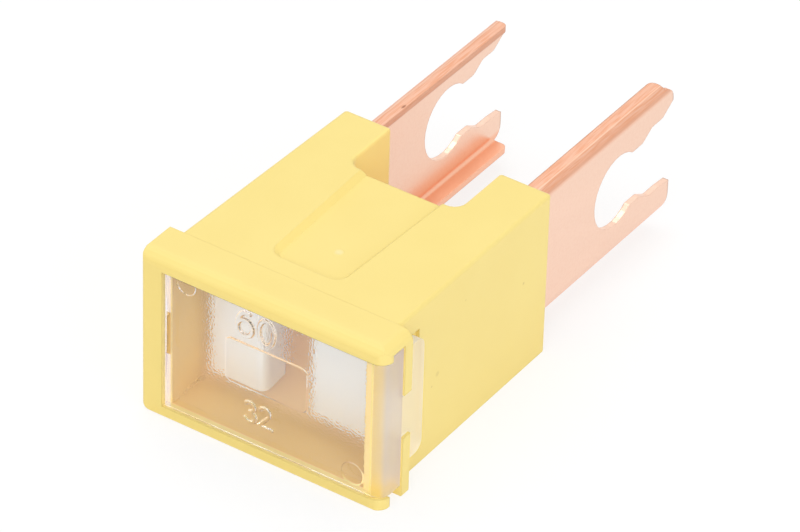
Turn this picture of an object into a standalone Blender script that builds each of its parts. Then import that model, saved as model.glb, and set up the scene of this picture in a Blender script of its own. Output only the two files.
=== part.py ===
import math

import bmesh
import bpy

for old in list(bpy.data.objects):
    bpy.data.objects.remove(old, do_unlink=True)

MM = 0.001

# The bezel is the wide front frame of the housing.
bezel_width = 21.5 * MM
bezel_height = 14.45 * MM
bezel_depth = 3.5 * MM
bezel_brow = 1.05 * MM
bezel_toe = 0.15 * MM
bezel_heel = 0.05 * MM
bezel_shoulder = 1.0 * MM
bezel_foot = 0.9 * MM
bezel_corner = 0.1 * MM
bezel_left_edge = 0.3 * MM
bezel_right_edge = 1.1 * MM

# The body is the box behind the bezel, with two towers and a notch at its rear.
body_inset_left = 1.05 * MM
body_inset_right = 1.2 * MM
body_draft_left = 0.65 * MM
body_draft_right = 0.15 * MM
body_drop = 0.08 * MM
body_depth = 23.5 * MM
body_edge = 0.25 * MM
wall = 1.0 * MM
tower_width = 4.67 * MM
notch_depth = 5.65 * MM
notch_fillet = 1.0 * MM
notch_wall = 2.05 * MM

# The recess in the top runs back into the notch.
recess_inset = 1.68 * MM
recess_inset_rear = 0.93 * MM
recess_front = 5.2 * MM
recess_depth = 0.45 * MM
recess_slope = 0.45 * MM
recess_corner = 1.1 * MM

# The window is cut in the front, and it is open on the right.
left_bar = 1.83 * MM
bottom_bar = 0.9 * MM
top_bar = 1.35 * MM
slot_depth = 2.55 * MM
lip_depth = 1.05 * MM
end_rise = 0.55 * MM

# The cover is clear, and its flap passes behind the bezel's right side bar.
fit_gap = 0.15 * MM
cover_set_back = 0.15 * MM
pane_thickness = 1.1 * MM
pane_corner = 0.95 * MM
pane_edge = 0.1 * MM
rim_thickness = 0.9 * MM
side_bar = 0.5 * MM
end_thickness = 0.8 * MM
end_lift = 0.05 * MM
flap_thickness = 0.5 * MM
flap_height = 10.3 * MM
flap_end = 5.95 * MM
flap_corner = 0.9 * MM
catch_height = 3.6 * MM
catch_window = 3.9 * MM
hook_reach = 0.8 * MM
hook_thickness = 0.5 * MM

# The blades are channels, mirrored left and right.
passage = 0.3 * MM
sheet = 0.5 * MM
inner_sheet = 0.4 * MM
blade_inset = 1.57 * MM
blade_roof = 0.92 * MM
blade_floor = 1.15 * MM
bend = 0.8 * MM
top_flange = 1.5 * MM
bottom_flange = 1.9 * MM
blade_seat = 0.7 * MM
blade_reach = 19.3 * MM
flange_short = 1.05 * MM
flange_round = 0.5 * MM
web_drop = 0.3 * MM
web_tip_round = 1.1 * MM

# The slot takes a six millimetre screw and snaps over it.
slot_radius = 3.15 * MM
slot_from_tip = 7.6 * MM
throat_half = 2.45 * MM
throat_length = 1.45 * MM
throat_round = 0.8 * MM
flare_rise = 1.25 * MM
flare_length = 1.5 * MM
flare_half = 3.25 * MM
flare_slope = 0.65
lower_flare_half = 3.15 * MM
lower_flare_slope = 0.1

# The middle of the strip stands behind the window.
plate_set_back = 3.85 * MM
plate_margin = 0.75 * MM
left_plate_edge = -2.65 * MM
right_plate_edge = 1.55 * MM
plate_bend = 0.6 * MM
plate_heel = 0.4 * MM
leg_depth = 4.5 * MM
link_cut = 1.6 * MM
link_height = 2.2 * MM


def fillet(points, radii, steps=5):
    """Replaces the corners of a closed outline, or the inner points of an open one, by arcs."""
    made = []
    count = len(points)
    for i, (x, y) in enumerate(points):
        r = radii[i]
        if r <= 0:
            made.append((x, y))
            continue
        ax, ay = points[i - 1]
        bx, by = points[(i + 1) % count]
        ux, uy = ax - x, ay - y
        vx, vy = bx - x, by - y
        lu, lv = math.hypot(ux, uy), math.hypot(vx, vy)
        ux, uy, vx, vy = ux / lu, uy / lu, vx / lv, vy / lv
        half = math.acos(max(-1, min(1, ux * vx + uy * vy))) / 2
        reach = r / math.tan(half)
        mx, my = ux + vx, uy + vy
        lm = math.hypot(mx, my)
        cx, cy = x + mx / lm * r / math.sin(half), y + my / lm * r / math.sin(half)
        start = math.atan2(y + uy * reach - cy, x + ux * reach - cx)
        end = math.atan2(y + vy * reach - cy, x + vx * reach - cx)
        turn = (end - start + math.pi) % (2 * math.pi) - math.pi
        made.append((x + ux * reach, y + uy * reach))
        for k in range(1, steps):
            a = start + turn * k / steps
            made.append((cx + r * math.cos(a), cy + r * math.sin(a)))
        made.append((x + vx * reach, y + vy * reach))
    return made


def ribbon(points, thickness):
    """Turns an open centre line into the closed outline of a strip of this thickness."""
    left, right = [], []
    for i, (x, y) in enumerate(points):
        ax, ay = points[max(i - 1, 0)]
        bx, by = points[min(i + 1, len(points) - 1)]
        dx, dy = bx - ax, by - ay
        length = math.hypot(dx, dy)
        nx, ny = -dy / length * thickness / 2, dx / length * thickness / 2
        left.append((x + nx, y + ny))
        right.append((x - nx, y - ny))
    return left + right[::-1]


def prism(name, outline, axis, low, high):
    """A closed solid whose outline is carried straight along one axis."""
    place = {
        "X": lambda a, b, t: (t, a, b),
        "Y": lambda a, b, t: (a, t, b),
        "Z": lambda a, b, t: (a, b, t),
    }[axis]
    bm = bmesh.new()
    first = [bm.verts.new(place(a, b, low)) for a, b in outline]
    last = [bm.verts.new(place(a, b, high)) for a, b in outline]
    bm.faces.new(first)
    bm.faces.new(last)
    count = len(outline)
    for i in range(count):
        j = (i + 1) % count
        bm.faces.new((first[i], first[j], last[j], last[i]))
    bmesh.ops.recalc_face_normals(bm, faces=bm.faces)
    mesh = bpy.data.meshes.new(name)
    bm.to_mesh(mesh)
    bm.free()
    made = bpy.data.objects.new(name, mesh)
    bpy.context.scene.collection.objects.link(made)
    return made


def box(name, x0, x1, y0, y1, z0, z1):
    """A plain box between these planes."""
    return prism(name, [(x0, y0), (x1, y0), (x1, y1), (x0, y1)], "Z", z0, z1)


def helper(thing):
    """Hides a solid that only shapes another one."""
    thing.hide_render = True
    thing.display_type = "WIRE"
    return thing


def combine(target, other, operation):
    """Adds, cuts or keeps the common part of two solids."""
    step = target.modifiers.new(other.name, "BOOLEAN")
    step.operation = operation
    step.solver = "EXACT"
    step.object = helper(other)


def soften(target, width, segments, chosen):
    """Rounds the edges of a solid that the test picks by their two ends."""
    mesh = target.data
    weights = mesh.attributes.new("bevel_weight_edge", "FLOAT", "EDGE")
    for edge in mesh.edges:
        ends = [mesh.vertices[i].co for i in edge.vertices]
        weights.data[edge.index].value = float(chosen(*ends))
    step = target.modifiers.new("edges", "BEVEL")
    step.width = width
    step.segments = segments
    step.limit_method = "WEIGHT"


def finish(target, colour, roughness, metallic=0.0, alpha=1.0):
    """Gives a node its own material."""
    surface = bpy.data.materials.new(target.name)
    surface.use_nodes = True
    shader = surface.node_tree.nodes["Principled BSDF"]
    shader.inputs["Base Color"].default_value = (*colour, 1.0)
    shader.inputs["Roughness"].default_value = roughness
    shader.inputs["Metallic"].default_value = metallic
    shader.inputs["Alpha"].default_value = alpha
    target.data.materials.append(surface)


half_width = bezel_width / 2
body_half = half_width - body_inset_right
body_left = half_width - body_inset_left
body_top = bezel_height - body_drop
middle = bezel_height / 2
window_low = bottom_bar
window_top = bezel_height - top_bar
window_left = half_width - left_bar
cavity_half = body_half - wall
notch_half = body_half - tower_width
notch_floor = body_depth - notch_depth
cavity_depth = notch_floor - notch_wall
pane_back = cover_set_back + pane_thickness
ledge_depth = pane_back + fit_gap

# Housing: the bezel, rounded differently as seen from the side, the front and above.
side_view = [(0.0, 0.0), (bezel_depth, 0.0), (bezel_depth, bezel_height), (0.0, bezel_height)]
side_radii = [bezel_toe, bezel_heel, bezel_heel, bezel_brow]
housing = prism("housing", fillet(side_view, side_radii), "X", -half_width, half_width)
front_view = [(-half_width, 0.0), (half_width, 0.0), (half_width, bezel_height), (-half_width, bezel_height)]
front_radii = [bezel_foot, bezel_corner, bezel_shoulder, bezel_corner]
front = prism("front_view_shape", fillet(front_view, front_radii), "Y", -wall, bezel_depth + wall)
combine(housing, front, "INTERSECT")
top_view = [(-half_width, 0.0), (half_width, 0.0), (half_width, bezel_depth), (-half_width, bezel_depth)]
top_radii = [bezel_left_edge, bezel_right_edge, bezel_heel, bezel_heel]
above = prism("top_view_shape", fillet(top_view, top_radii), "Z", -wall, bezel_height + wall)
combine(housing, above, "INTERSECT")

# Housing: the body and its two towers.
plan = [
    (-body_left, bezel_depth - wall),
    (body_half, bezel_depth - wall),
    (body_half - body_draft_right, body_depth),
    (notch_half, body_depth),
    (notch_half, notch_floor),
    (-notch_half, notch_floor),
    (-notch_half, body_depth),
    (-body_left + body_draft_left, body_depth),
]
plan_radii = [0, 0, 0, 0, notch_fillet, notch_fillet, 0, 0]


def rounded(a, b):
    """True for the body's edges round its top and for the upright ones at its rear end."""
    top = min(a.z, b.z) > body_top - body_edge
    upright = min(a.y, b.y) > body_depth - body_edge and abs(a.z - b.z) > body_edge
    return top or upright


body = prism("body_shape", fillet(plan, plan_radii), "Z", 0.0, body_top)
soften(body, body_edge, 2, rounded)
combine(housing, body, "UNION")

# Housing: the shallow recess in the top.
recess_half = notch_half - recess_inset
recess_half_rear = notch_half - recess_inset_rear
recess_loops = []
for spread in (-recess_slope, recess_slope):
    outline = [
        (-recess_half - spread, recess_front - spread),
        (recess_half + spread, recess_front - spread),
        (recess_half_rear + spread, body_depth + wall),
        (-recess_half_rear - spread, body_depth + wall),
    ]
    recess_loops.append(fillet(outline, [recess_corner + spread, recess_corner + spread, 0, 0]))
recess = prism("recess_shape", recess_loops[0], "Z", body_top - recess_depth, body_top + recess_depth)
count = len(recess_loops[1])
for i, (x, y) in enumerate(recess_loops[1]):
    recess.data.vertices[count + i].co.x = x
    recess.data.vertices[count + i].co.y = y
combine(housing, recess, "DIFFERENCE")

# Housing: the pocket for the cover's pane, open at the front and on the right.
combine(
    housing,
    box("window_shape", -window_left, half_width + wall, -wall, ledge_depth, window_low, window_top),
    "DIFFERENCE",
)

# Housing: the cavity behind the window.
combine(
    housing,
    box("cavity_shape", -cavity_half, cavity_half, ledge_depth - wall, cavity_depth, window_low, window_top),
    "DIFFERENCE",
)

# Housing: the slot for the cover's rim and its flap, and the opening for its catch.
flap_in = body_half - fit_gap
flap_out = half_width - side_bar - fit_gap
flap_low = middle - flap_height / 2
flap_high = middle + flap_height / 2
combine(
    housing,
    box("rim_slot_shape", flap_in - fit_gap, half_width + wall, -wall, slot_depth, window_low, window_top),
    "DIFFERENCE",
)
combine(
    housing,
    box(
        "flap_slot_shape",
        flap_in - fit_gap,
        flap_out + fit_gap,
        slot_depth - wall,
        flap_end + fit_gap,
        flap_low - fit_gap,
        flap_high + fit_gap,
    ),
    "DIFFERENCE",
)
combine(
    housing,
    box(
        "catch_window_shape",
        flap_out,
        half_width + wall,
        slot_depth - wall,
        bezel_depth + wall,
        middle - catch_window / 2,
        middle + catch_window / 2,
    ),
    "DIFFERENCE",
)

# Housing: the pocket for the cover's hook in the left bar.
hook_front = pane_back - hook_thickness
combine(
    housing,
    box(
        "hook_pocket_shape",
        -window_left - hook_reach - fit_gap,
        -window_left + wall / 2,
        hook_front - fit_gap,
        ledge_depth,
        middle - catch_window / 2,
        middle + catch_window / 2,
    ),
    "DIFFERENCE",
)

# Housing: the slot at the right end that the cover's end wall fills, open at the bottom.
pane_right = half_width - fit_gap / 2
end_top = window_top + end_rise
combine(
    housing,
    box(
        "end_slot_shape",
        pane_right - end_thickness - fit_gap,
        half_width + wall,
        lip_depth,
        slot_depth,
        -wall,
        end_top,
    ),
    "DIFFERENCE",
)

# Housing: the passages that hold the blades in the towers.
blade_outer = body_half - blade_inset
passage_top = body_top - blade_roof
blade_low = blade_floor + passage
blade_top = passage_top - passage
blade_middle = (blade_low + blade_top) / 2
blade_tip = body_depth + blade_reach
for side, sign in (("left", -1), ("right", 1)):
    xs = sorted((sign * (blade_outer + passage), sign * (blade_outer - bottom_flange - passage)))
    combine(
        housing,
        box(
            side + "_passage_shape",
            xs[0],
            xs[1],
            cavity_depth - wall,
            body_depth + wall,
            blade_floor,
            passage_top,
        ),
        "DIFFERENCE",
    )
finish(housing, (0.98, 0.78, 0.28), 0.42)

# Window cover: the pane with the rim at its right end.
pane_left = -window_left + fit_gap
pane_low = window_low + fit_gap
pane_top = window_top - fit_gap
rim_end = slot_depth - fit_gap
cover_plan = [
    (pane_left, cover_set_back),
    (pane_right, cover_set_back),
    (pane_right, rim_end),
    (flap_in, rim_end),
    (flap_in, pane_back),
    (pane_left, pane_back),
]
cover = prism(
    "window_cover",
    fillet(cover_plan, [pane_edge, pane_corner, 0, 0, pane_edge, 0], 3),
    "Z",
    pane_low,
    pane_top,
)

# Window cover: its end wall, the flap behind the side bar, its catch and the hook on the left.
end_wall = box(
    "end_wall_shape",
    pane_right - end_thickness,
    pane_right,
    lip_depth + fit_gap,
    rim_end,
    end_lift,
    end_top - fit_gap,
)
combine(cover, end_wall, "UNION")
flap_y = rim_end - rim_thickness
flap_side = [(flap_y, flap_low), (flap_end, flap_low), (flap_end, flap_high), (flap_y, flap_high)]
flap = prism(
    "flap_shape",
    fillet(flap_side, [0, flap_corner, flap_corner, 0]),
    "X",
    flap_in,
    flap_out,
)
combine(cover, flap, "UNION")
catch_plan = [
    (flap_out - flap_thickness / 2, rim_end - rim_thickness),
    (half_width - fit_gap, rim_end - rim_thickness),
    (half_width - fit_gap, bezel_depth - fit_gap),
    (flap_out - flap_thickness / 2, bezel_depth + side_bar),
]
catch = prism("catch_shape", catch_plan, "Z", middle - catch_height / 2, middle + catch_height / 2)
combine(cover, catch, "UNION")
hook = box(
    "hook_shape",
    pane_left - hook_reach,
    pane_left + hook_reach,
    hook_front,
    pane_back,
    middle - catch_height / 2,
    middle + catch_height / 2,
)
combine(cover, hook, "UNION")
finish(cover, (0.93, 0.9, 0.87), 0.08, alpha=0.3)

# Fuse strip: the middle of the strip, bent round behind the window.
web = blade_outer - sheet / 2
blade_start = cavity_depth + blade_seat
plate_front = ledge_depth + plate_set_back
link_back = plate_front + leg_depth
path = [
    (-web, blade_start + sheet),
    (-web, plate_front),
    (left_plate_edge, plate_front),
    (left_plate_edge, link_back),
    (right_plate_edge, link_back),
    (right_plate_edge, plate_front),
    (web, plate_front),
    (web, blade_start + sheet),
]
plate_low = blade_low + plate_margin
plate_high = blade_top - plate_margin
path_bends = [0, plate_heel, plate_bend, plate_bend, plate_bend, plate_bend, plate_heel, 0]
inner_path = fillet(path, path_bends)
strip = prism("fuse_strip", ribbon(inner_path, inner_sheet), "Z", plate_low, plate_high)
for name, low, high in (
    ("below_link_shape", plate_low - sheet, blade_middle - link_height / 2),
    ("above_link_shape", blade_middle + link_height / 2, plate_high + sheet),
):
    cutter = box(
        name,
        left_plate_edge - plate_bend,
        right_plate_edge + plate_bend,
        link_back - link_cut,
        link_back + plate_bend,
        low,
        high,
    )
    combine(strip, cutter, "DIFFERENCE")

# Fuse strip: the two channel blades.
for side, sign in (("left", -1), ("right", 1)):
    section = [
        (sign * (blade_outer - bottom_flange), blade_low + sheet / 2),
        (sign * web, blade_low + sheet / 2),
        (sign * web, blade_top - sheet / 2),
        (sign * (blade_outer - top_flange), blade_top - sheet / 2),
    ]
    centre = fillet(section, [0, bend - sheet / 2, bend - sheet / 2, 0], 6)
    blade = prism(side + "_blade_shape", ribbon(centre, sheet), "Y", blade_start, blade_tip)
    combine(strip, blade, "UNION")

# Fuse strip: the open slot for the screw, with a snap throat and a flared mouth.
slot_centre = blade_tip - slot_from_tip
throat_angle = math.asin(throat_half / slot_radius)
slot_steps = 22
slot = []
for k in range(1, slot_steps):
    a = throat_angle + (2 * math.pi - 2 * throat_angle) * k / slot_steps
    slot.append((slot_centre + slot_radius * math.cos(a), slot_radius * math.sin(a)))
throat_start = slot_centre + slot_radius * math.cos(throat_angle)
throat_end = throat_start + throat_length
flare_start = throat_end + flare_rise
flare_end = flare_start + flare_length
for sign, half, slope in ((-1, lower_flare_half, lower_flare_slope), (1, flare_half, flare_slope)):
    past_tip = blade_tip + wall
    outline = [
        (throat_start, throat_half),
        (throat_end, throat_half),
        (flare_start, half),
        (flare_end, half),
        (past_tip, half + (past_tip - flare_end) * slope),
    ]
    outline = fillet(outline, [0, throat_round, throat_round, throat_round, 0])
    slot += [(y, sign * z) for y, z in outline[::-sign]]
slot = [(y, blade_middle + z) for y, z in slot]
combine(strip, prism("slot_shape", slot, "X", -half_width, half_width), "DIFFERENCE")

# Fuse strip: the rounded tips of the webs and of their flanges.
flange_tip = blade_tip - flange_short
for level, sign, flange in (("upper", 1, top_flange), ("lower", -1, bottom_flange)):
    flange_edge = blade_top if sign > 0 else blade_low
    web_edge = flange_edge - sign * web_drop
    beyond = flange_edge + sign * wall
    corner = [
        (flange_tip, web_edge),
        (blade_tip, web_edge),
        (blade_tip, web_edge - sign * (web_tip_round + sheet)),
        (blade_tip + wall, web_edge - sign * (web_tip_round + sheet)),
        (blade_tip + wall, beyond),
        (flange_tip, beyond),
    ]
    outline = fillet(corner, [0, web_tip_round, 0, 0, 0, 0])
    combine(strip, prism(level + "_web_tip_shape", outline, "X", -half_width, half_width), "DIFFERENCE")
    heights = sorted((flange_edge - sign * (bend + sheet), beyond))
    for side, way in (("left", -1), ("right", 1)):
        inner = blade_outer - sheet
        free = blade_outer - flange
        far = free - wall
        tip = [
            (way * inner, flange_tip),
            (way * free, flange_tip),
            (way * free, flange_tip - flange_round - sheet),
            (way * far, flange_tip - flange_round - sheet),
            (way * far, blade_tip + wall),
            (way * inner, blade_tip + wall),
        ]
        outline = fillet(tip, [0, flange_round, 0, 0, 0, 0])
        combine(strip, prism(f"{side}_{level}_flange_tip_shape", outline, "Z", *heights), "DIFFERENCE")
finish(strip, (0.9, 0.62, 0.48), 0.32, metallic=1.0)

# The origin is under the middle of the whole fuse.
for thing in bpy.context.scene.objects:
    thing.location.y = -blade_tip / 2

for node in (housing, cover, strip):
    bpy.context.view_layer.objects.active = node
    node.select_set(True)
    bpy.ops.object.shade_smooth()
    node.data.set_sharp_from_angle(angle=math.radians(30))
    node.select_set(False)
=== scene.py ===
import math

import bmesh
import bpy
import numpy as np
from mathutils import Euler, Matrix, Vector


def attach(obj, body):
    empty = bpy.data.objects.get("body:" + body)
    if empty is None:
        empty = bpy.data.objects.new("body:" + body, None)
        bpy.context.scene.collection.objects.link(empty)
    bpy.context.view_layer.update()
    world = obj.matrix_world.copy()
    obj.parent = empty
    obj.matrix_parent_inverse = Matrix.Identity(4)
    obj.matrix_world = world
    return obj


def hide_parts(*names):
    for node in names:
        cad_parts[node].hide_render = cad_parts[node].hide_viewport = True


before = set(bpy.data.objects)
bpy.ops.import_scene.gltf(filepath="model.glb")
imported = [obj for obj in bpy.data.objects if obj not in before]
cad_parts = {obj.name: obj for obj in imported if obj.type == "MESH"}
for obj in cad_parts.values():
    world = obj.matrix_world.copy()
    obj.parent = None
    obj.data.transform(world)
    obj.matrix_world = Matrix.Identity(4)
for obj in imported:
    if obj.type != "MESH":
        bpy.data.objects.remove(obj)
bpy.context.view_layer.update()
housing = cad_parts["housing"]
window_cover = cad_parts["window_cover"]
fuse_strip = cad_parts["fuse_strip"]
MM = 0.001

# Camera: a long lens from the front right, looking down at about 36 degrees,
# the way small parts are shot on a table so that their edges stay parallel.
camera_place = Vector((193.853, -297.960, 264.550)) * MM
camera_turn = Euler([math.radians(angle) for angle in (53.838, -1.394, 34.388)])
camera_lens = 264.276
camera_data = bpy.data.cameras.new("camera")
camera_data.sensor_width = 36.0
camera_data.lens = camera_lens
camera_data.clip_start = 0.01
camera_data.clip_end = 5.0
camera = bpy.data.objects.new("camera", camera_data)
camera.matrix_world = Matrix.LocRotScale(camera_place, camera_turn, None)
bpy.context.scene.collection.objects.link(camera)
bpy.context.scene.camera = camera
bpy.context.scene.view_settings.view_transform = "Standard"


# Table: a white sheet under the fuse and a white room round it. Both look
# plain white straight on and in reflections, and the sheet takes a soft shadow.
class Level:
    """A number that changes over a surface. Sums, products and the like add the nodes that work them out."""

    def __init__(self, finish, socket):
        self.finish = finish
        self.socket = socket

    def worked(self, operation, *values):
        return self.finish.node("ShaderNodeMath", {"operation": operation}, dict(enumerate(values)))

    def __add__(self, other):
        return self.worked("ADD", self, other)

    def __radd__(self, other):
        return self.worked("ADD", other, self)

    def __sub__(self, other):
        return self.worked("SUBTRACT", self, other)

    def __rsub__(self, other):
        return self.worked("SUBTRACT", other, self)

    def __mul__(self, other):
        return self.worked("MULTIPLY", self, other)

    def __rmul__(self, other):
        return self.worked("MULTIPLY", other, self)

    def __truediv__(self, other):
        return self.worked("DIVIDE", self, other)

    def __abs__(self):
        return self.worked("ABSOLUTE", self)

    def root(self):
        return self.worked("SQRT", self)

    def most(self, other):
        return self.worked("MAXIMUM", self, other)

    def rises(self, low, high):
        """0 below low, 1 above high and a smooth step between them; falls instead where high is lower."""
        settings = {"interpolation_type": "SMOOTHSTEP"}
        sockets = {"Value": self, "From Min": min(low, high), "From Max": max(low, high)}
        sockets["To Min"], sockets["To Max"] = (0.0, 1.0) if low < high else (1.0, 0.0)
        return self.finish.node("ShaderNodeMapRange", settings, sockets)

    def near(self, middle, half, blur):
        """1 closer to the middle than half, 0 further off, and a smooth step as wide as the blur."""
        return abs(self - middle).rises(half + blur / 2, half - blur / 2)


class Finish:
    """The nodes of one material, or of the room round the fuse."""

    def __init__(self, holder):
        holder.use_nodes = True
        self.holder = holder
        self.tree = holder.node_tree
        self.tree.nodes.clear()

    def node(self, kind, settings=None, sockets=None, result=0):
        """Adds a node: its settings first, then the values or the links of its sockets."""
        made = self.tree.nodes.new(kind)
        for name, value in (settings or {}).items():
            setattr(made, name, value)
        for name, value in (sockets or {}).items():
            if isinstance(value, Level):
                self.tree.links.new(value.socket, made.inputs[name])
            else:
                made.inputs[name].default_value = value
        return Level(self, made.outputs[result]) if made.outputs else None

    def mixed(self, share, first, second):
        """A colour that goes from the first to the second as the share goes from 0 to 1."""
        return self.node("ShaderNodeMix", {"data_type": "RGBA"}, {0: share, 6: first, 7: second}, 2)

    def place(self):
        """Where a point lies, in millimetres, as three levels along the fuse's own axes."""
        point = self.node("ShaderNodeTexCoord", result="Object")
        split = self.node("ShaderNodeSeparateXYZ", {}, {0: point})
        return [Level(self, split.socket.node.outputs[axis]) / MM for axis in "XYZ"]

    def seen(self):
        """1 for rays that come from the camera, a reflection or clear plastic, and 0 for the others."""
        camera_rays = self.node("ShaderNodeLightPath", result="Is Camera Ray")
        outputs = camera_rays.socket.node.outputs
        glossy_rays = Level(self, outputs["Is Glossy Ray"])
        clear_rays = Level(self, outputs["Is Transmission Ray"])
        return camera_rays.most(glossy_rays).most(clear_rays)

    def shown(self, kind, surface):
        """Sends a shader to the output of a material or a world."""
        self.node(kind, {}, {"Surface": surface})


room_light = 0.64
white = (1.0, 1.0, 1.0, 1.0)
room = Finish(bpy.data.worlds.new("room"))
bpy.context.scene.world = room.holder
room_strength = room.seen().most(room_light)
white_room = room.node("ShaderNodeBackground", {}, {"Color": white, "Strength": room_strength})
room.shown("ShaderNodeOutputWorld", white_room)

table_half = 600 * MM
table_mesh = bpy.data.meshes.new("table")
table_corners = [(sx * table_half, sy * table_half, 0.0) for sx, sy in ((-1, -1), (1, -1), (1, 1), (-1, 1))]
table_mesh.from_pydata(table_corners, [], [(0, 1, 2, 3)])
table = bpy.data.objects.new("table", table_mesh)
bpy.context.scene.collection.objects.link(table)
sheet = Finish(bpy.data.materials.new("white_sheet"))
shadow_share, sheet_glow, sheet_white = 0.3, 1.05, (0.95, 0.95, 0.95, 1.0)
matt = sheet.node("ShaderNodeBsdfDiffuse", {}, {"Color": sheet_white})
bright = sheet.node("ShaderNodeEmission", {}, {"Color": white, "Strength": sheet_glow})
sheet_share = sheet.seen() * (1 - shadow_share)
white_sheet = sheet.node("ShaderNodeMixShader", {}, {0: sheet_share, 1: matt, 2: bright})
sheet.shown("ShaderNodeOutputMaterial", white_sheet)
table_mesh.materials.append(sheet.holder)


def lamp(name, place, side, power):
    """A square soft lamp, aimed at the middle of the fuse."""
    data = bpy.data.lights.new(name, "AREA")
    data.size = side
    data.energy = power
    made = bpy.data.objects.new(name, data)
    spot = Vector(place)
    made.matrix_world = Matrix.LocRotScale(spot, (-spot).to_track_quat("-Z", "Y"), None)
    bpy.context.scene.collection.objects.link(made)


lamp("lamp_above", (-0.15, 0.1, 0.6), 0.5, 1.08)
lamp("lamp_right", (0.6, -0.2, 0.3), 0.4, 0.78)
lamp("lamp_front", (0.15, -0.55, 0.35), 0.3, 0.8)


# Housing: one moulding of yellow nylon with a satin skin. The tool leaves soft flow
# marks in it and a small pale scar where the plastic came in. Its front face and the
# cavity past the ledge are painted a deeper yellow as shade, and painted light glows
# from the deep cavity, its pocket and the notch.
def linear(red, green, blue):
    """A colour as a screen shows it, 0 to 255, turned into light: each share to the power of about 2.4."""
    shares = np.array([red, green, blue]) / 255
    light = np.where(shares <= 0.04045, shares / 12.92, ((shares + 0.055) / 1.055) ** 2.4)
    return (*[float(value) for value in light], 1.0)


yellow = linear(251, 228, 139)
deep_yellow_and_shade = linear(245, 219, 126)
shaded_cavity_yellow = linear(242, 205, 129)
unlit = (0.0, 0.0, 0.0, 1.0)
cavity_painted_light = (0.15, 0.12, 0.12, 1.0)
notch_painted_light = (0.09, 0.05, 0.02, 1.0)
bezel_face = -21.3
body_top, body_side = 13.75, 9.1
cavity_half, cavity_low, cavity_high, cavity_back = 9.02, 0.78, 13.3, -5.35
pocket_back, deep_start = -19.95, -15.5
notch_half, notch_front = 5.1, -3.3
gate_place, gate_radius, gate_width, gate_height = (0.62, -12.67), 0.31, 0.1, 0.1
gate_colour = linear(255, 241, 190)
specks = ((-1.3, 8.2, 0.16, 0.35), (-12.7, 6.85, 0.3, 0.2), (-13.4, 6.1, 0.12, 0.3), (-9.2, 11.4, 0.1, 0.3))
speck_colour = linear(190, 160, 90)


def grain(finish, size, detail=2.0):
    """Fine random grain, 0 to 1, with grains of this size in millimetres."""
    point = finish.node("ShaderNodeTexCoord", result="Object")
    sockets = {"Vector": point, "Scale": 1 / (size * MM), "Detail": detail}
    return finish.node("ShaderNodeTexNoise", {}, sockets)


def far_off(first, second):
    """How far off a point is: the root of the sum of the squares of its distances along two axes."""
    return (first * first + second * second).root()


nylon = Finish(bpy.data.materials.new("yellow_nylon"))
across, along, up = nylon.place()
on_top = up.rises(body_top - 0.05, body_top + 0.05)
on_side = across.rises(body_side - 0.1, body_side + 0.1)
inside = across.near(0.0, cavity_half, 0.15) * up.rises(cavity_low - 0.08, cavity_low + 0.07)
inside = inside * up.rises(cavity_high + 0.1, cavity_high - 0.1)
inside = inside * along.rises(bezel_face - 0.05, bezel_face + 0.05)
inside = inside * along.rises(cavity_back + 0.15, cavity_back - 0.15)
shaded_past_ledge = inside * along.rises(pocket_back - 0.1, pocket_back)
in_pocket = inside * along.rises(pocket_back + 0.05, pocket_back - 0.05)
deep_inside = inside * along.rises(deep_start - 1.0, deep_start + 1.0)
in_notch = across.near(0.0, notch_half, 0.2) * along.rises(notch_front, notch_front + 1.8)

gate_far = far_off(across - gate_place[0], along - gate_place[1])
gate_ring = gate_far.near(gate_radius, gate_width, 0.1) * on_top
gate_scar = gate_far.rises(0.45, 0.1) * on_top
fine_grain = grain(nylon, 0.35) * 0.012
broad_waves = grain(nylon, 3.0) * 0.008
edge_round = nylon.node("ShaderNodeBevel", {"samples": 6}, {"Radius": 0.12 * MM})
skin = nylon.node("ShaderNodeBump", {}, {
    "Strength": 0.5,
    "Distance": 0.2 * MM,
    "Height": fine_grain + broad_waves + gate_ring * gate_height,
    "Normal": edge_round,
})

flow_marks = grain(nylon, 6.0).rises(0.3, 0.7)
front_face_shade = along.rises(bezel_face + 0.1, bezel_face - 0.05)
nylon_colour = nylon.mixed(flow_marks * 0.25, yellow, deep_yellow_and_shade)
nylon_colour = nylon.mixed(gate_scar * 0.5, nylon_colour, gate_colour)
for speck_along, speck_up, radius, strength in specks:
    speck_far = far_off(along - speck_along, up - speck_up)
    speck = speck_far.rises(radius, radius * 0.4) * on_side * strength
    nylon_colour = nylon.mixed(speck, nylon_colour, speck_colour)
# Painted shade: the front face is a deeper yellow, the same yellow the flow marks reach.
nylon_colour = nylon.mixed(front_face_shade * 0.7, nylon_colour, deep_yellow_and_shade)
# Painted shade: the cavity past the ledge is a deeper yellow.
nylon_colour = nylon.mixed(shaded_past_ledge, nylon_colour, shaded_cavity_yellow)
# Painted light: the deep cavity, its pocket and the notch glow, though no lamp is there.
nylon_painted_light = nylon.mixed(deep_inside.most(in_pocket * 0.5), unlit, cavity_painted_light)
nylon_skin = nylon.node("ShaderNodeBsdfPrincipled", {}, {
    "Base Color": nylon_colour,
    "Roughness": 0.4 + grain(nylon, 1.2) * 0.08,
    "Emission Color": nylon.mixed(in_notch, nylon_painted_light, notch_painted_light),
    "Emission Strength": 1.0,
    "Normal": skin,
})
nylon.shown("ShaderNodeOutputMaterial", nylon_skin)
housing.data.materials.clear()
housing.data.materials.append(nylon.holder)

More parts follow.
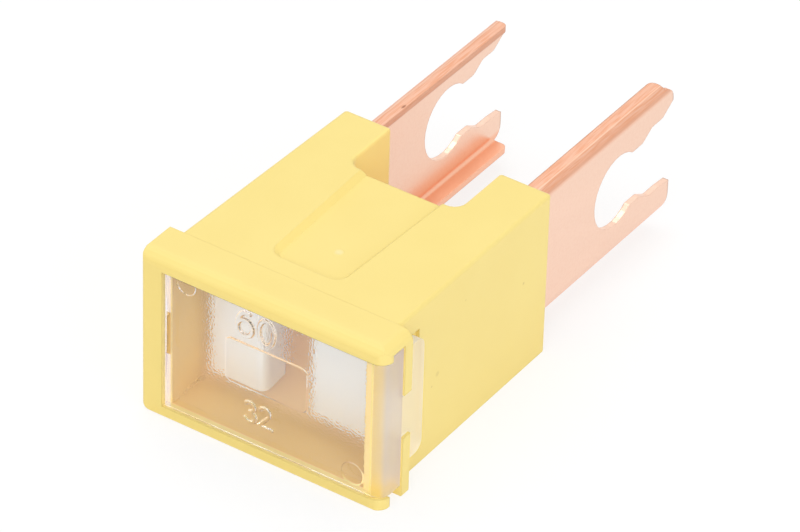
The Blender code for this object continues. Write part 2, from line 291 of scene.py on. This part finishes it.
# Window cover: one moulding of clear plastic, pressed into the front until its
# hook and its catch snap in. Its middle panel is polished and stands up a little,
# as do the numbers, and the tool's pins left two round dents in it.
cover_points = np.array([vert.co for vert in window_cover.data.vertices]) / MM
pane_front = cover_points[:, 1].min()
front_points = cover_points[cover_points[:, 1] < pane_front + 0.002]
pane_left, pane_low = front_points[:, (0, 2)].min(0)
pane_right, pane_high = front_points[:, (0, 2)].max(0)
columns, rows = 372, 240
border = 0.12
number_height, number_slope = 0.14, 0.1
panel_height, panel_slope = 0.1, 0.1
panel_middle, panel_half, panel_corner = (0.36, 7.93), (3.62, 1.98), 0.55
pin_depth, pin_slope = 0.08, 0.16
pin_marks = ((-6.82, 12.72, 0.8, 0.1), (8.0, 2.35, 0.95, 0.9))
hook_middle, hook_half = 7.8, 1.9
flap_front = -18.9
frost_left, frost_low, frost_size, frost_height = -7.95, 1.85, 0.16, 0.02
end_colour, flap_colour, left_colour = (0.47, 0.45, 0.46, 1.0), (0.8, 0.79, 0.82, 1.0), (0.5, 0.5, 0.5, 1.0)
hook_colour, slope_shade_colour = linear(252, 214, 160), linear(205, 165, 130)
end_painted_glow, flap_painted_glow, left_painted_glow = (0.2, 0.165, 0.155, 1.0), (0.1, 0.09, 0.065, 1.0), (0.3, 0.31, 0.42, 1.0)
rib_painted_glow, line_painted_glow = (0.31, 0.2, 0.02, 1.0), (0.26, 0.21, 0.18, 1.0)


def arc(middle, radii, start, end, steps=24):
    """Points on an ellipse: the middle plus the radii times the cosine and the sine of an angle."""
    angles = np.radians(np.linspace(start, end, steps + 1))
    return np.stack([middle[0] + radii[0] * np.cos(angles), middle[1] + radii[1] * np.sin(angles)], 1)


def far_from(x, z, line):
    """How far each point of the grid is from the nearest point of a broken line."""
    nearest = np.full(x.shape, np.inf)
    for (ax, az), (bx, bz) in zip(line, line[1:]):
        dx, dz = bx - ax, bz - az
        share = np.clip(((x - ax) * dx + (z - az) * dz) / (dx * dx + dz * dz), 0, 1)
        nearest = np.minimum(nearest, np.hypot(x - ax - share * dx, z - az - share * dz))
    return nearest


def step_up(inside, slope):
    """0 outside, 1 inside and a smooth step as wide as the slope, from how far inside an edge a point is."""
    share = np.clip(inside / slope + 0.5, 0, 1)
    return share * share * (3 - 2 * share)


# The strokes of a 60 and a 32, each as half its width and the line along its middle.
numbers = (
    (0.17, arc((-1.57, 11.3), (0.67, 0.7), 0, 360)),
    (0.17, arc((-1.36, 11.3), (0.88, 1.4), 180, 78)),
    (0.17, arc((0.33, 11.6), (0.64, 1.1), 0, 360)),
    (0.13, arc((-1.05, 4.38), (0.42, 0.4), 150, -90)),
    (0.13, arc((-1.05, 3.49), (0.5, 0.49), 90, -150)),
    (0.13, np.vstack([arc((0.27, 4.33), (0.45, 0.45), 160, -30), [(-0.25, 3.03), (0.9, 3.03)]])),
)
grid_across = np.linspace(pane_left, pane_right, columns + 1)
grid_up = np.linspace(pane_low, pane_high, rows + 1)
x, z = np.meshgrid(grid_across, grid_up)
height = np.zeros(x.shape)
for half, line in numbers:
    height = np.maximum(height, number_height * step_up(half - far_from(x, z, line), number_slope))

# The panel is a box with round corners. A point is past it by its distance from
# the smaller box of the corners' middles, less the corners' radius.
over_x = np.abs(x - panel_middle[0]) - panel_half[0] + panel_corner
over_z = np.abs(z - panel_middle[1]) - panel_half[1] + panel_corner
past_corner = np.hypot(np.maximum(over_x, 0), np.maximum(over_z, 0))
past_panel = past_corner + np.minimum(np.maximum(over_x, over_z), 0)
height += panel_height * step_up(panel_corner - past_panel, panel_slope)
for middle_x, middle_z, radius, _ in pin_marks:
    height -= pin_depth * step_up(radius - np.hypot(x - middle_x, z - middle_z), pin_slope)
from_sides = np.minimum(x - pane_left, pane_right - x)
from_ends = np.minimum(z - pane_low, pane_high - z)
height *= np.clip(np.minimum(from_sides, from_ends) / border, 0, 1)


def relief_mesh(x, z, height):
    """A grid of quads whose points lie at x, at the pane's front minus the height, and at z."""
    points = np.stack([x, pane_front - height, z], -1).reshape(-1, 3) * MM
    number = np.arange(points.shape[0]).reshape(x.shape)
    quads = np.stack([number[:-1, :-1], number[:-1, 1:], number[1:, 1:], number[1:, :-1]], -1)
    mesh = bpy.data.meshes.new("pane_relief")
    mesh.from_pydata(points, [], quads.reshape(-1, 4))
    return mesh


def cover_mesh(relief):
    """The solid cover, with the plain front of its pane cut out and the relief welded into the hole."""
    shell = bmesh.new()
    shell.from_mesh(window_cover.data)
    near = 0.002 * MM
    front = pane_front * MM
    sharpest = math.radians(35)
    bmesh.ops.remove_doubles(shell, verts=shell.verts, dist=near)
    plain = [face for face in shell.faces if all(abs(vert.co.y - front) < near for vert in face.verts)]
    bmesh.ops.delete(shell, geom=plain, context="FACES")
    for edge in [edge for edge in shell.edges if edge.is_boundary]:
        is_level = abs(edge.verts[0].co.z - edge.verts[1].co.z) < near
        bmesh.ops.subdivide_edges(shell, edges=[edge], cuts=(columns if is_level else rows) - 1)
    shell.from_mesh(relief)
    bmesh.ops.remove_doubles(shell, verts=shell.verts, dist=near)
    for face in shell.faces:
        face.smooth = True
    for edge in shell.edges:
        in_relief = all(len(face.verts) == 4 for face in edge.link_faces)
        edge.smooth = in_relief or edge.calc_face_angle() < sharpest
    mesh = bpy.data.meshes.new("clear_cover")
    shell.to_mesh(mesh)
    shell.free()
    return mesh


clear_cover = bpy.data.objects.new("clear_cover", cover_mesh(relief_mesh(x, z, height)))
bpy.context.scene.collection.objects.link(clear_cover)

clear = Finish(bpy.data.materials.new("clear_plastic"))
across, along, up = clear.place()
in_panel = across.near(panel_middle[0], panel_half[0], 0.1) * up.near(panel_middle[1], panel_half[1], 0.1)
in_front = along.rises(pane_front + 0.15, pane_front + 0.05)
in_flap = along.rises(flap_front - 0.05, flap_front + 0.05)
at_end = across.rises(pane_right - 0.125, pane_right - 0.025) * (1 - in_flap)
at_rib = at_end * along.rises(pane_front + 0.5, pane_front + 0.15)
at_left = across.rises(pane_left + 0.49, pane_left + 0.43) * in_front
by_hook = at_left * up.near(hook_middle, hook_half, 0.1) * across.rises(pane_left + 0.05, pane_left + 0.12)
left_strip = at_left * (1 - by_hook)
frosted = (1 - in_panel) * in_front * up.rises(frost_low - 0.15, frost_low + 0.15)
frosted = frosted * across.rises(frost_left - 0.15, frost_left + 0.15)

# The pane's lower end face is see-through, because a polished face would show as
# a bright line there.
at_seat = up.rises(pane_low + 0.03, pane_low + 0.01) * (1 - in_front)

# Painted highlights: the light lines along the pane's lower edge, the panel's sides and
# the rims of the dents, and on the slopes of the numbers that face up and to the left.
low_lines = (up.near(pane_low + 0.08, 0.045, 0.03) * 0.7).most(up.near(pane_low + 0.45, 0.03, 0.02) * 0.35)
panel_side = abs(across - panel_middle[0]).near(panel_half[0], 0.05, 0.04)
panel_side = panel_side * up.near(panel_middle[1], panel_half[1] - 0.25, 0.5)
shine_line = low_lines.most(panel_side * 0.6)
for middle_x, middle_z, radius, shine in pin_marks:
    pin_across, pin_up = across - middle_x, up - middle_z
    pin_ring = far_off(pin_across, pin_up).near(radius, 0.1, 0.08)
    pin_ring = pin_ring * pin_up.rises(-0.3, 0.5) * pin_across.rises(-0.6, 0.3)
    shine_line = shine_line.most(pin_ring * shine)
slopes = clear.node("ShaderNodeSeparateXYZ", {}, {0: clear.node("ShaderNodeNewGeometry", result="Normal")})
lean_across, lean_along, lean_up = [Level(clear, slopes.socket.node.outputs[axis]) for axis in "XYZ"]
lean = (lean_up * 0.8 - lean_across * 0.6) * lean_along.rises(-0.1, -0.3) * in_front
light_slopes = lean.rises(0.2, 0.5)
shaded_slopes = lean.rises(-0.2, -0.5)
shine_line = shine_line.most(light_slopes * 0.8) * in_front

# Painted light: the glows are emitted light that stands in for the milky light in the plastic where it is
# rough, thick or bent, and for its light lines; the grey tints dim the light through the plastic there.
clear_painted_glow = clear.mixed(at_end, unlit, end_painted_glow)
clear_painted_glow = clear.mixed(at_rib, clear_painted_glow, rib_painted_glow)
clear_painted_glow = clear.mixed(in_flap, clear_painted_glow, flap_painted_glow)
clear_painted_glow = clear.mixed(left_strip, clear_painted_glow, left_painted_glow)
clear_painted_glow = clear.mixed(shine_line, clear_painted_glow, line_painted_glow)
clear_colour = clear.mixed(at_end, white, end_colour)
clear_colour = clear.mixed(in_flap, clear_colour, flap_colour)
clear_colour = clear.mixed(left_strip, clear_colour, left_colour)
clear_colour = clear.mixed(by_hook, clear_colour, hook_colour)
# Painted shade on the slopes of the relief that face down and to the right.
clear_colour = clear.mixed(shaded_slopes * 0.6, clear_colour, slope_shade_colour)
frost_skin = clear.node("ShaderNodeBump", {}, {
    "Strength": 1.0,
    "Distance": frost_height * MM,
    "Height": grain(clear, frost_size, 0.0) * frosted,
})
plastic = clear.node("ShaderNodeBsdfPrincipled", {}, {
    "Base Color": clear_colour,
    "Emission Color": clear_painted_glow,
    "Emission Strength": 1.0,
    "Roughness": 0.02 + at_end * 0.7 + in_flap * 0.3,
    "Transmission Weight": 1.0,
    "Alpha": 1 - at_seat,
    "IOR": 1.49,
    "Normal": frost_skin,
})
lets_light = clear.node("ShaderNodeBsdfTransparent", {}, {"Color": white})
lamp_rays = clear.node("ShaderNodeLightPath", result="Is Shadow Ray")
clear_body = clear.node("ShaderNodeMixShader", {}, {0: lamp_rays, 1: plastic, 2: lets_light})
clear.shown("ShaderNodeOutputMaterial", clear_body)
clear_cover.data.materials.append(clear.holder)
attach(clear_cover, "root")
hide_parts("window_cover")

# Fuse strip: one bent strip of copper. Its blades are bare copper, darker at the tips, with
# painted shade, highlight and reflection on their flanges, and its middle behind the window
# is tinned, folded into a well and lit a little by painted light.
tin_white, tin_painted_light = linear(252, 251, 249), (0.0, 0.03, 0.06, 1.0)
copper_light, copper_dark = linear(249, 213, 191), linear(240, 196, 170)
copper_top_shade, copper_bend_shade, copper_trough_reflection = linear(232, 168, 134), linear(232, 165, 130), linear(250, 186, 152)
copper_highlight, copper_edge_shade, copper_tip = linear(255, 215, 188), linear(205, 150, 122), linear(200, 160, 135)
copper_stain = linear(150, 90, 65)
tinned_end = -5.35
blade_outside, blade_top, blade_tip = 7.98, 13.15, 21.4
top_flange, bend_start, trough_high = 1.5, 0.58, 2.35
streak_size, streak_stretch = 0.12, 0.06
stain_place, stain_slim = (-6.7, 6.4), 2.5

metal = Finish(bpy.data.materials.new("strip_metal"))
across, along, up = metal.place()
tinned = along.rises(tinned_end + 0.05, tinned_end - 0.05)
bare = 1 - tinned
outward = abs(across)
on_flange = up.rises(blade_top - 0.85, blade_top - 0.25) * bare
bend_shade = up.rises(blade_top - 0.1, blade_top - 0.35) * up.rises(blade_top - 0.95, blade_top - 0.45) * bare
bend_highlight = outward.near(blade_outside - bend_start, 0.05, 0.04)
bend_highlight = bend_highlight * up.rises(blade_top - 0.15, blade_top - 0.05) * bare
free_edge = outward.rises(blade_outside - top_flange + 0.12, blade_outside - top_flange + 0.02)
outer_edge = outward.rises(blade_outside - 0.16, blade_outside - 0.03)
edge_shade_line = free_edge.most(outer_edge) * up.rises(blade_top - 0.65, blade_top - 0.45) * bare
trough_reflection = up.rises(trough_high + 0.25, trough_high - 0.25) * bare
trough_reflection = trough_reflection * outward.rises(blade_outside + 0.02, blade_outside - 0.13)
at_tip = along.rises(blade_tip - 0.2, blade_tip - 0.02)
stain_far = far_off((across - stain_place[0]) * stain_slim, along - stain_place[1])
stain = stain_far.rises(0.4, 0.1) * on_flange

metal_point = metal.node("ShaderNodeTexCoord", result="Object")
streak_point = metal.node("ShaderNodeMapping", {}, {
    "Vector": metal_point,
    "Scale": (1.0, streak_stretch, 1.0),
})
streaks = metal.node("ShaderNodeTexNoise", {}, {
    "Vector": streak_point,
    "Scale": 1 / (streak_size * MM),
    "Detail": 1.0,
}).rises(0.3, 0.7)
mottle = grain(metal, 0.25).rises(0.35, 0.75)
copper = metal.mixed(mottle * 0.25, copper_light, copper_dark)
# Painted shade: the top flange is a deeper copper; the lengthwise streaks that vary it are the metal's own.
copper = metal.mixed(on_flange * (0.55 + streaks * 0.45), copper, copper_top_shade)
# Painted shade: a darker band down the top bend.
copper = metal.mixed(bend_shade * 0.4, copper, copper_bend_shade)
# Painted highlight: a light line along the outside of the top bend.
copper = metal.mixed(bend_highlight * 0.6, copper, copper_highlight)
# Painted shade: darker lines along the top flange's free edge and the blade's outer edge.
copper = metal.mixed(edge_shade_line * 0.45, copper, copper_edge_shade)
copper = metal.mixed(stain * 0.75, copper, copper_stain)
# Painted reflection: the lower flange's trough is a more saturated copper, as copper shows in copper.
copper = metal.mixed(trough_reflection * 0.8, copper, copper_trough_reflection)
copper = metal.mixed(at_tip * 0.6, copper, copper_tip)

metal_round = metal.node("ShaderNodeBevel", {"samples": 6}, {"Radius": 0.15 * MM})
metal_skin = metal.node("ShaderNodeBump", {}, {
    "Strength": 0.1,
    "Distance": 0.01 * MM,
    "Height": grain(metal, 0.2),
    "Normal": metal_round,
})
# Painted light: the tinned middle glows a little blue.
metal_surface = metal.node("ShaderNodeBsdfPrincipled", {}, {
    "Base Color": metal.mixed(tinned, copper, tin_white),
    "Roughness": 0.3 + grain(metal, 0.8) * 0.1 + tinned * 0.15,
    "Metallic": 1 - tinned * 0.45,
    "Emission Color": metal.mixed(tinned, unlit, tin_painted_light),
    "Emission Strength": 1.0,
    "Normal": metal_skin,
})
metal.shown("ShaderNodeOutputMaterial", metal_surface)
fuse_strip.data.materials.clear()
fuse_strip.data.materials.append(metal.holder)
